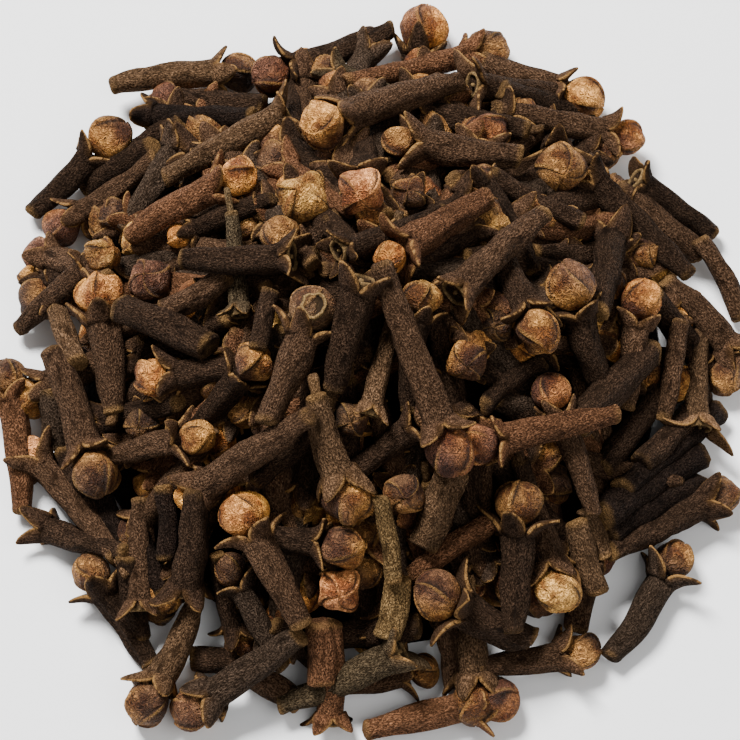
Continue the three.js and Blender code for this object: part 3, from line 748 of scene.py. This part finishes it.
# %% Build a lobe
LOBE_STEPS = 9
LOBE_ACROSS = 5
LOBE_OUTLINE = np.array([
    (0, 1.15), (0.25, 1.15), (0.45, 1.0), (0.7, 0.72), (0.88, 0.46), (0.97, 0.26), (1, 0.14)
])
LOBE_THICKNESS = np.array([(0, 0.5), (0.12, 0.85), (0.3, 1.0), (0.6, 0.72), (0.9, 0.45), (1, 0.25)])
LOBE_LENGTH, LOBE_WIDTH, USUAL_STEM = (2.5, 3.6), (1.8, 2.3), 2.9  # mm, on a stem this wide
CUP, SKEW, ASIDE = (0.0, 0.4), (-0.5, 0.5), 0.12
ROOT_AT = 0.86  # of the stem's radius, out from the clove's middle line
ROOT_SUNK = 0.9
FLARE = 0.42  # radians, how the lobe's root leans out with the stem's rim
ROOT_TO = 0.4  # of the length, where the lobe's own lean has taken over


def lobe_sheets(clove, draw, turn, habit):
    """The outer and the inner face of one lobe, from the rim's middle, in mm."""
    lean, curl = draw.uniform(*habit.leans), draw.uniform(*habit.curls)
    turn = turn + draw.uniform(-ASIDE, ASIDE)
    scale = clove.stem / USUAL_STEM
    length = draw.uniform(*LOBE_LENGTH) * habit.longer * scale
    width = draw.uniform(*LOBE_WIDTH) * scale
    cup, skew = draw.uniform(*CUP), draw.uniform(*SKEW)
    share = np.linspace(0, 1, LOBE_STEPS)[:, None]
    angle = FLARE + (lean - FLARE) * np.clip(share / ROOT_TO, 0, 1) + curl * share**1.5
    step = length / (LOBE_STEPS - 1)
    ways = (np.cumsum(part(angle[:-1]) * step) for part in (np.sin, np.cos))
    out, up = (np.insert(way, 0, 0)[:, None] for way in ways)
    across = np.linspace(-1, 1, LOBE_ACROSS)[None, :]
    half = width / 2 * np.interp(share, *LOBE_OUTLINE.T)
    thick = np.interp(share, *LOBE_THICKNESS.T) * scale
    sheets = []
    for face in (1, -1):
        lift = face * thick / 2 * (1 - 0.72 * across**2) - cup * half * across**2
        reach = clove.stem / 2 * ROOT_AT + out + lift * np.cos(angle)
        rise = up - lift * np.sin(angle) - ROOT_SUNK
        side = half * across + skew * share**2
        sheets.append(np.stack([
            reach * math.cos(turn) - side * math.sin(turn),
            reach * math.sin(turn) + side * math.cos(turn),
            rise,
        ], -1).reshape(-1, 3))
    return np.concatenate(sheets)


def lobe_faces():
    """Faces of an outer and an inner sheet, joined round their edge."""
    cell = np.arange(LOBE_STEPS * LOBE_ACROSS).reshape(LOBE_STEPS, LOBE_ACROSS)
    a, b, c, d = cell[:-1, :-1], cell[:-1, 1:], cell[1:, 1:], cell[1:, :-1]
    outer = np.stack([a, b, c, d], -1).reshape(-1, 4)
    inner = np.stack([a, d, c, b], -1).reshape(-1, 4) + cell.size
    loop = np.concatenate([cell[0, :-1], cell[:-1, -1], cell[-1, :0:-1], cell[:0:-1, 0]])
    after = np.roll(loop, -1)
    edge = np.stack([loop, loop + cell.size, after + cell.size, after], -1)
    return np.concatenate([outer, inner, edge])


def lobe_wear():
    """The lobe's rim is worn pale, and its inner face a little."""
    edge = np.zeros((LOBE_STEPS, LOBE_ACROSS))
    edge[1:, [0, -1]] = 1
    edge[-1] = 1
    return np.concatenate([edge.ravel(), 0.3 + 0.7 * edge.ravel()])


# %% [markdown]
# ## An empty head and a scar
#
# Where the petals have dropped, the calyx is an open cup: a raised ring, a dark hollow and the
# stub of the flower's style. Its rings go up over the rim, down into the cup and up the stub.
# One bud has shed only its cap, which leaves a ragged pale ring round a dark disc.

# %% Build the inside of an empty head, and a scar
CUP_SIDES = 16
CUP_FORM = np.array([
    (1.0, -0.5), (1.02, 0.0), (0.95, 0.25), (0.8, 0.28), (0.68, 0.0), (0.55, -0.35),
    (0.3, -0.5), (0.16, -0.2), (0.12, 0.2),
])
CUP_WEAR = [0, 0.3, 1, 0.8, 0.1, 0, 0, 0.3, 1]
CUP_RISE, CUP_RAGGED, STUB_WORN = 0.1, 0.06, 1
SCAR_FORM = np.array([
    (1.35, -0.5), (1.28, -0.05), (1.18, 0.1), (1.02, 0.02), (0.9, -0.12), (0.3, -0.02),
])
SCAR_WEAR = [0, 0.8, 1.3, 1.0, 0, 0.1]
SCAR_RAGGED, DISC_WORN = 0.12, 0.2


def turned_rings(form, draw, size, lift, ragged, turns, count, climb=1):
    """The rings of a turned form whose rim is ragged, in the clove's own frame."""
    phase = circle(CUP_SIDES)
    across, height = form[:, :1], form[:, 1:]
    ragged = ragged * waves(draw, phase, height, turns, (0.5, 2), count)
    return rings_of(across * size * (1 + ragged), phase, height * (1 + climb * ragged) + lift)


def ring_wear(wear, middle):
    """How worn the points of a turned form are, ring by ring, and its middle point last."""
    return np.append(np.repeat(wear, CUP_SIDES), middle)


# %% [markdown]
# ## The tones of the cloves
#
# A stem has one tone and a bud two: it is fresh on one side and has darkened on the other.

# %% Tones
TONES = {  # scene-linear colours of the stems
    "dark": (0.0195, 0.0107, 0.0056),
    "brown": (0.042, 0.0225, 0.0112),
    "amber": (0.061, 0.034, 0.016),
    "straw": (0.085, 0.051, 0.019),
    # painted shade: for stems that lie deep in gaps of the heap
    "black": (0.0095, 0.0055, 0.0034),
    "red": (0.072, 0.032, 0.014),
    "slate": (0.027, 0.017, 0.010),
    "olive": (0.038, 0.026, 0.013),
}
BUD_TONES = {  # of the petals where they are fresh, and where they have darkened
    "tan": ((0.235, 0.099, 0.025), (0.068, 0.028, 0.013)),
    "orange": ((0.345, 0.132, 0.030), (0.105, 0.038, 0.015)),
    "pink": ((0.410, 0.160, 0.058), (0.230, 0.085, 0.032)),
    "red": ((0.165, 0.058, 0.018), (0.060, 0.022, 0.012)),
    "pale": ((0.310, 0.150, 0.040), (0.130, 0.058, 0.018)),
    "brown": ((0.145, 0.062, 0.018), (0.050, 0.022, 0.010)),
    "scarred": ((0.085, 0.040, 0.018), (0.060, 0.030, 0.014)),
    # painted shade: for buds that sit deep in the heap
    "dark": ((0.060, 0.026, 0.009), (0.030, 0.014, 0.006)),
    "gold": ((0.480, 0.200, 0.040), (0.250, 0.096, 0.026)),
    "purple": ((0.090, 0.038, 0.022), (0.060, 0.026, 0.017)),
}
DARKENED, DARKENED_ASIDE, DARKENED_BY_CHANCE = 0.45, 2.2, (-0.3, 0.2)


def petal_tones(clove, own, draw):
    """The tone of each point of a bud."""
    fresh, darkened = (np.array(tone) for tone in BUD_TONES[clove.bud_tone])
    spread = own / clove.bud
    facing = draw.normal(0, 1, 3)
    aside = DARKENED_ASIDE * spread @ (facing / np.linalg.norm(facing))
    share = np.clip(DARKENED + aside + draw.uniform(*DARKENED_BY_CHANCE), 0, 1)[:, None]
    return (fresh * (1 - share) + darkened * share) * draw.uniform(0.85, 1.15)


# %% [markdown]
# ## Put the parts of every clove together
#
# Parts of one kind share one finish, so they share one object: stems, lobes, buds and the
# insides of empty heads. Each clove is turned to lie along its axis and rolled about it by an
# angle of its own. Most rest on two of their four corners.

# %% Build all cloves
stems, buds = Parts("clove_stems"), Parts("clove_buds")
lobes, cups = Parts("clove_lobes"), Parts("clove_cups")
STEM_FACES = tube_faces(len(STEM_RINGS), STEM_SIDES)
STALK_FACES = tube_faces(len(STALK_FORM), STALK_SIDES)[:, [1, 0, 3, 2]]  # it grows downwards
BUD_FACES = tube_faces(BUD_RINGS, BUD_SIDES)
CUP_FACES = tube_faces(len(CUP_FORM), CUP_SIDES, closed_foot=False)
SCAR_FACES = tube_faces(len(SCAR_FORM), CUP_SIDES, closed_foot=False)
LOBE_FACES, LOBE_WEAR = lobe_faces(), lobe_wear()
RESTS_ON_TWO, ROLL, BOW, TUCK = 0.75, 0.2, 0.3, 0.15
FOOT_FADES, TOP_FADES, WORN_AT_END = 0.6, 0.5, 1.3  # wear fades so many mm from an end


def own_frame(clove):
    """Turns the clove's own frame to where the clove lies, with its +Y as far up as it goes."""
    axis = Vector(clove.head - clove.foot).normalized()
    side = Vector(PLAN_OUT).cross(axis).normalized()
    turn = np.array([side, axis.cross(side), axis])
    return lambda points: points @ turn + clove.foot


def end_wear(away, fades):
    return np.clip(WORN_AT_END - away / fades, 0, 1)


def build_head(clove, draw, place, offset, tone, roll):
    """The lobes of a head, and the bud between them or the empty cup."""
    at_rim, at_bud = [0, 0, rim_height(clove)], [0, 0, clove.length()]
    habit = habit_of(clove, draw)
    for quarter in range(LOBE_COUNT):
        own = lobe_sheets(clove, draw, roll + quarter * 2 * math.pi / LOBE_COUNT, habit)
        lobes.add(place(own + at_rim), LOBE_FACES, own + offset, tone * habit.paler, LOBE_WEAR)
    if not clove.bud:
        rings = turned_rings(CUP_FORM, draw, clove.stem / 2, CUP_RISE, CUP_RAGGED, (2, 5), 3)
        own = with_middles(rings, closed_foot=False)
        cups.add(place(own + at_rim), CUP_FACES, own + offset, tone, ring_wear(CUP_WEAR, STUB_WORN))
        return
    rings, wear_and_crease_shade = bud_rings(clove, draw, roll)
    own = with_middles(rings)
    tones = petal_tones(clove, own, draw)
    buds.add(place(own + at_bud), BUD_FACES, own + offset, tones, [*wear_and_crease_shade.ravel(), 0, 0.5])
    if clove.bud_tone == "scarred":
        rings = turned_rings(SCAR_FORM, draw, 1, clove.bud / 2, SCAR_RAGGED, (2, 6), 4, climb=3)
        sideways = rings[..., [0, 2, 1]] * [1, 1, -1]
        own = with_middles(sideways, closed_foot=False)
        wear_and_crease_shade = ring_wear(SCAR_WEAR, DISC_WORN)
        cups.add(place(own + at_bud), SCAR_FACES, own + offset, TONES["dark"], wear_and_crease_shade)


def build(number, clove):
    draw = np.random.default_rng(FIRST_SEED + number)
    place = own_frame(clove)
    offset = draw.uniform(-200, 200, 3)
    tone = np.array(TONES[clove.tone]) * draw.uniform(0.8, 1.2)
    rests_on_two = draw.random() < RESTS_ON_TWO or clove.bud_tone == "star"
    roll = draw.normal(0, ROLL) + (math.pi / 4 if rests_on_two else 0)
    tall = rim_height(clove)
    own = with_middles(stem_rings(clove, draw, roll), sunk=TUCK)
    wear_and_crease_shade = end_wear(own[:, 2], FOOT_FADES)
    if clove.broken:
        wear_and_crease_shade = np.maximum(wear_and_crease_shade, end_wear(tall - own[:, 2], TOP_FADES))
    bow = draw.normal(0, BOW, 2)
    stems.add(place(bent(own, tall, bow)), STEM_FACES, own + offset, tone, wear_and_crease_shade)
    if clove.broken:
        return
    if draw.random() < STALKED:
        own = with_middles(stalk_rings(clove, draw))
        stems.add(place(own), STALK_FACES, own + offset, tone * STALK_PALER, STALK_WORN)
    build_head(clove, draw, place, offset, tone, roll)


for number, clove in enumerate(heap):
    build(number, clove)
pieces = {parts.name: parts.mesh_object() for parts in (stems, lobes, buds, cups)}

# %% [markdown]
# ## The bed
#
# Under the cloves lies the heap's own inside, which no light reaches. A dome as high as the bed
# that they were laid on keeps the gaps dark; its near-black finish is painted shade.

# %% Build the bed
BED_RINGS, BED_SIDES = 24, 60
BED_EDGE, BED_TOP = 0.8, 0.02  # of the heap's half width
BED_INSET, BED_LUMPS, BED_FOOT = 0.9, 0.5, 0.05
bed = Parts("clove_bed")
out = np.linspace(BED_EDGE, BED_TOP, BED_RINGS)[:, None]
bed_x = out * HEAP_WIDTH / 2 * np.cos(circle(BED_SIDES))
bed_y = out * HEAP_DEPTH / 2 * np.sin(circle(BED_SIDES))
lumps = BED_LUMPS * np.sin(1.1 * bed_x) * np.sin(1.3 * bed_y + 1)
bed_z = np.maximum(BED_FOOT, skin(bed_x, bed_y) - BED_UNDER_SKIN - BED_INSET + lumps)
dome = np.stack([bed_x, bed_y, bed_z], -1)
bed_points = with_middles(np.concatenate([dome[:1] * [1, 1, 0], dome]))
bed.add(bed_points, tube_faces(BED_RINGS + 1, BED_SIDES), bed_points, TONES["dark"], 0)
pieces["clove_bed"] = bed.mesh_object()

# %% [markdown]
# ## Shader sums in plain Python
#
# A finish is mostly sums. Wired by hand they take a page of nodes, so a small class wraps a
# socket, and an expression on two of them adds the Math node that works it out. Colours go
# through Mix nodes, because a Math node would turn them grey.

# %% Sockets that can be summed
class Mask:
    """A number that changes over a surface."""

    def __init__(self, finish, socket):
        self.finish, self.socket = finish, socket

    def reckon(self, operation, *values):
        return self.finish.node("Math", {"operation": operation}, dict(enumerate(values)))

    def __add__(self, other):
        return self.reckon("ADD", self, other)

    def __sub__(self, other):
        return self.reckon("SUBTRACT", self, other)

    def __rsub__(self, other):
        return self.reckon("SUBTRACT", other, self)

    def __mul__(self, other):
        return self.reckon("MULTIPLY", self, other)

    __radd__ = __add__
    __rmul__ = __mul__

    def bands(self, count):
        """Bands like those between the lines of a map, 0 at each line and 0.5 half way."""
        return self.reckon("PINGPONG", self * count, 0.5)

    def ramp(self, low, high):
        """0 below low, 1 above high, and straight between them."""
        sockets = {"Value": self, "From Min": low, "From Max": high}
        return self.finish.node("MapRange", {"clamp": True}, sockets)


# %% [markdown]
# ## A material and its nodes
#
# One method makes every node, from its type, its settings and a value or link for each socket.

# %% One finish
class Finish:
    """One material and the steps that make its nodes."""

    def __init__(self, name, **shader):
        self.material = bpy.data.materials.new(name)
        self.material.use_nodes = True
        self.tree = self.material.node_tree
        self.shader = self.tree.nodes["Principled BSDF"]
        for socket, value in shader.items():
            self.shader.inputs[socket.replace("_", " ")].default_value = value

    def node(self, kind, settings, sockets, output=0):
        made = self.tree.nodes.new("ShaderNode" + kind)
        for name, setting in settings.items():
            setattr(made, name, setting)
        for name, value in sockets.items():
            if isinstance(value, Mask):
                self.tree.links.new(value.socket, made.inputs[name])
            else:
                made.inputs[name].default_value = value
        return Mask(self, made.outputs[output])

    def fact(self, name, output):
        """What the mesh keeps under a name at each of its points."""
        return self.node("Attribute", {"attribute_name": name}, {}, output)

    def scaled(self, vector, by):
        return self.node("VectorMath", {"operation": "MULTIPLY"}, {0: vector, 1: by})

    def noise(self, vector, *amounts):
        sockets = dict(zip(("Scale", "Detail", "Roughness", "Distortion"), amounts))
        return self.node("TexNoise", {}, {"Vector": vector} | sockets)

    def mixed(self, factor, first, second, blend="MIX"):
        settings = {"data_type": "RGBA", "blend_type": blend}
        return self.node("Mix", settings, {"Factor": factor, 6: first, 7: second}, 2)

    def tinted(self, colour, by, factor=1.0):
        return self.mixed(factor, colour, by, "MULTIPLY")

    def relief(self, height, distance, strength=1.0, **under):
        sockets = {"Height": height, "Distance": distance, "Strength": strength} | under
        return self.node("Bump", {}, sockets)

    def shade(self, **links):
        for socket, value in links.items():
            self.tree.links.new(value.socket, self.shader.inputs[socket.replace("_", " ")])


# %% [markdown]
# ## A clove's skin
#
# All parts of a clove share one skin. It is drawn into a fine net of wrinkles that run
# lengthwise, with the oil glands between them, so close up it looks pebbled. The pebbles are
# painted paler, partly as wear and partly as painted highlight, and the grooves between them
# darker, as painted shade.

# %% The skin
class Skin(Finish):
    """A finish with the facts of the mesh, fine pebbles and coarse wrinkles below them."""

    def __init__(self, name, roughness, specular=0.05, along=0.6, fine=7.0):
        super().__init__(name, Roughness=roughness, Specular_IOR_Level=specular)
        self.place = self.fact("place", "Vector")  # on the part's own clove, in mm
        self.tone, self.wear_and_crease_shade = self.fact("tone", "Color"), self.fact("wear_and_crease_shade", "Fac")
        drawn_out = self.scaled(self.place, (1, 1, along))
        self.pebbles = self.noise(drawn_out, fine, 2.0, 0.6, 0.2).ramp(0.38, 0.68)
        self.coarse = self.noise(self.scaled(self.place, (1, 1, 0.4)), 1.3, 3.0, 0.55, 0.3)

    def wear_and_painted_light(self, groove_shade, wear_and_painted_light, grooves_to):
        """The tone, darkened in the grooves as painted shade, and paler on the pebbles between them
        as wear with a painted highlight.
        """
        groove_shade, wear_and_painted_light = self.tinted(self.tone, groove_shade), self.tinted(self.tone, wear_and_painted_light)
        colour = self.mixed(self.pebbles, groove_shade, wear_and_painted_light)
        return self.mixed(self.coarse.ramp(0.30, grooves_to), groove_shade, colour)

    def wrinkled(self, coarse_depth, strength, fine, fine_depth):
        """The relief of the coarse wrinkles with a finer one on top, their depths in metres."""
        below = self.relief(self.coarse, coarse_depth, strength)
        return self.relief(fine, fine_depth, Normal=below)


# %% [markdown]
# ## The finish of the stems and lobes
#
# A dried stem is matte, duller in some places than in others, and its snapped foot shows the
# wood. The lobes are the same skin, with a tan line along their worn edges.

# %% Stem and lobe finishes
stem = Skin("clove stem", 0.8)
patches = stem.noise(stem.place, 0.3, 2.0, 0.55)
bare_wood = stem.wear_and_crease_shade * patches.ramp(0.35, 0.60) * (0.35 + stem.pebbles * 0.65)
# Painted light: the darker grooves are painted shade, and the pale bluish pebble tops are wear with
# painted highlight.
colour = stem.wear_and_painted_light((0.45, 0.40, 0.36, 1), (4.5, 4.6, 5.1, 1), 0.46)
colour = stem.mixed(patches.ramp(0.65, 0.3) * 0.35, colour, stem.tone)
colour = stem.mixed(bare_wood, colour, (0.33, 0.180, 0.065, 1))
relief = stem.wrinkled(0.0006, 0.9, stem.pebbles, 0.00035)
stem.shade(Base_Color=colour, Roughness=0.9 - stem.pebbles * 0.25, Normal=relief)

lobe = Skin("clove lobe", 0.8)
broken_edge = lobe.wear_and_crease_shade.ramp(0.8, 1) * lobe.coarse.ramp(0.42, 0.52)
# Painted light: the darker grooves are painted shade, and the pale bluish pebble tops are wear with
# painted highlight.
colour = lobe.wear_and_painted_light((0.50, 0.44, 0.40, 1), (3.8, 3.8, 4.2, 1), 0.5)
colour = lobe.mixed(lobe.wear_and_crease_shade * 0.3, colour, (0.12, 0.057, 0.018, 1))
colour = lobe.mixed(broken_edge * 0.75, colour, (0.34, 0.180, 0.060, 1))
lobe.shade(Base_Color=colour, Normal=lobe.wrinkled(0.0004, 0.7, lobe.pebbles, 0.00018))

# %% [markdown]
# ## The finish of the buds
#
# The petals are paler than anything else in the heap, golden in some places and reddish dark in
# others. As they shrank, thin pale ridges rose all over them, like the lines on a map of hills.
# The petals' edges are pale, and their creases are painted dark as shade.

# %% Bud finish
bud = Skin("clove bud", 0.6, specular=0.2, along=0.8, fine=6.0)
patches = bud.noise(bud.place, 0.42, 3.0, 0.6)
ridges = bud.noise(bud.place, 1.5, 1.5, 0.5, 0.8).bands(5.5).ramp(0.12, 0.40)
pale_ridges = (bud.pebbles * 0.3 + ridges * 0.5).ramp(0, 1)
deep = bud.tinted(bud.tone, (0.40, 0.30, 0.20, 1))
golden = bud.tinted(bud.tone, (1.45, 1.52, 1.35, 1))
colour = bud.mixed(patches.ramp(0.40, 0.60), deep, golden)
colour = bud.mixed(bud.coarse.ramp(0.54, 0.66) * 0.6, colour, deep)
colour = bud.tinted(colour, (3.4, 3.6, 4.0, 1), pale_ridges)
colour = bud.mixed(bud.wear_and_crease_shade.ramp(0, 1) * 0.55, colour, (0.55, 0.30, 0.075, 1))
# Painted shade: the creases where one petal tucks under the next are made nearly black.
colour = bud.mixed((0 - bud.wear_and_crease_shade).ramp(0, 0.8) * 0.9, colour, (0.02, 0.009, 0.004, 1))
relief = bud.wrinkled(0.0008, 0.9, bud.pebbles * 0.3 + ridges, 0.00025)
bud.shade(Base_Color=colour, Roughness=0.8 - bud.pebbles * 0.2, Normal=relief)

# %% [markdown]
# ## The finish of the empty heads and the bed
#
# The cups and the bed are nearly black, with a little grain, as they lie in the shade: the
# near-black is painted shade.

# %% Cup and bed finishes
cup = Skin("clove cup", 0.85, along=1.0)
# Painted shade: the cup's near-black, blended by noise with the clove's tone, stands in for the
# shade of its hollow.
colour = cup.mixed(cup.coarse.ramp(0.4, 0.7), (0.012, 0.007, 0.004, 1), cup.tone)
colour = cup.mixed(cup.wear_and_crease_shade * (0.2 + cup.pebbles * 0.6), colour, (0.30, 0.185, 0.075, 1))
cup.shade(Base_Color=colour, Normal=cup.relief(cup.coarse, 0.0003))

inside = Finish("clove bed", Roughness=0.95, Specular_IOR_Level=0.05)
grain = inside.noise(inside.fact("place", "Vector"), 1.0, 4.0, 0.55)
# Painted shade: the bed is coloured darker than any clove, as the heap's unlit inside.
colour = inside.mixed(grain.ramp(0.4, 0.75), (0.003, 0.0015, 0.001, 1), (0.01, 0.006, 0.004, 1))
inside.shade(Base_Color=colour, Normal=inside.relief(grain, 0.001))

# %% [markdown]
# ## Dress the frame
#
# All pieces move with the one body, and together they stand for the plain solid.

# %% Fit the pieces to the frame
for name, finish, slot in (
    ("clove_stems", stem, "clove_stem"),
    ("clove_lobes", lobe, "clove_stem"),
    ("clove_buds", bud, "clove_bud"),
    ("clove_cups", cup, "clove_stem"),
    ("clove_bed", inside, "clove_bed"),
):
    piece = pieces[name]
    piece.data.materials.append(finish.material)
    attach(piece, "root")
    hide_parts("clove_heap")

# %% [markdown]
# ## Floor and light
#
# The floor is plain and nearly white. A lamp behind gives the stems their soft upper edges, and
# a wide weak one and a pale world fill the shade.

# %% Floor and light
FLOOR_HALF = 1.5
LAMPS_AIM = Vector((0, 0, 0.01))
WORLD_STRENGTH = 0.3

floor_mesh = bpy.data.meshes.new("floor")
corners = [(x * FLOOR_HALF, y * FLOOR_HALF, 0) for x, y in ((-1, -1), (1, -1), (1, 1), (-1, 1))]
floor_mesh.from_pydata(corners, [], [(0, 1, 2, 3)])
plain = Finish("floor", Base_Color=(0.93, 0.93, 0.93, 1), Roughness=0.9, Specular_IOR_Level=0.1)
floor_mesh.materials.append(plain.material)
floor = put("floor", floor_mesh)


def lamp(name, place, size, watts):
    light = put(name, bpy.data.lights.new(name, "AREA"))
    light.location = place
    light.rotation_euler = (LAMPS_AIM - Vector(place)).to_track_quat("-Z", "Y").to_euler()
    light.data.size, light.data.energy = size, watts


lamp("window", (-0.3, 0.45, 0.75), 0.3, 27.0)
lamp("fill", (0.5, -0.35, 0.8), 0.8, 5.0)
world = bpy.data.worlds.new("pale room")
world.use_nodes = True
background = world.node_tree.nodes["Background"]
background.inputs["Color"].default_value = (1, 1, 1, 1)
background.inputs["Strength"].default_value = WORLD_STRENGTH
bpy.context.scene.world = world
